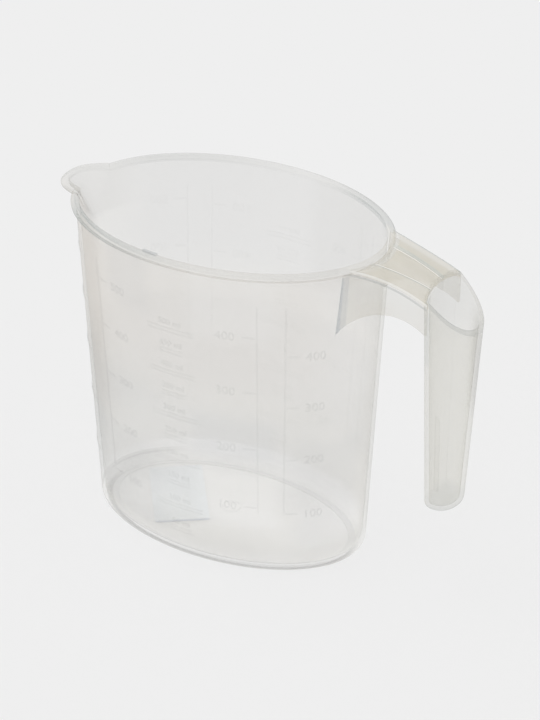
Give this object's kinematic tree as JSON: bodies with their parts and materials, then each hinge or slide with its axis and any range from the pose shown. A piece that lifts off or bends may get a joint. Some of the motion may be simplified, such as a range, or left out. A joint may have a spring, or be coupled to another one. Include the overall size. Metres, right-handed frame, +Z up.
{
  "type": "measuring jug",
  "caption": "Oval translucent plastic measuring jug with a V spout, a rolled rim, raised scales and an open-topped hollow grip on a short bridge.",
  "frame": {"origin": "middle of the oval foot, on the table", "axes": "+Z up, +X from the jug's middle towards the handle, -X towards the spout, the plane y = 0 through spout and handle"},
  "size_m": [0.1559, 0.0812, 0.1217],
  "materials": {
    "clear_plastic": "translucent natural polypropylene, satin",
    "paper": "plain coated paper"
  },
  "bodies": {
    "root": {"wall": "clear_plastic", "bottom_corner": "clear_plastic", "foot_ring": "clear_plastic", "floor_panel": "clear_plastic", "gate_mark": "clear_plastic", "rim": "clear_plastic", "rim_nick": "clear_plastic", "spout": "clear_plastic", "spout_lip": "clear_plastic", "bridge_deck": "clear_plastic", "bridge_web_near": "clear_plastic", "bridge_web_far": "clear_plastic", "bridge_rib_near": "clear_plastic", "bridge_rib_far": "clear_plastic", "grip_shell": "clear_plastic", "grip_end": "clear_plastic", "grip_rib": "clear_plastic", "volume_scale": "clear_plastic", "volume_scale_far": "clear_plastic", "weight_scale_a": "clear_plastic", "weight_scale_b": "clear_plastic", "weight_scale_c": "clear_plastic", "weight_scale_d": "clear_plastic", "weight_scale_e": "clear_plastic", "weight_scale_f": "clear_plastic", "weight_scale_g": "clear_plastic", "weight_scale_h": "clear_plastic", "sticker": "paper"}
  },
  "joints": []
}
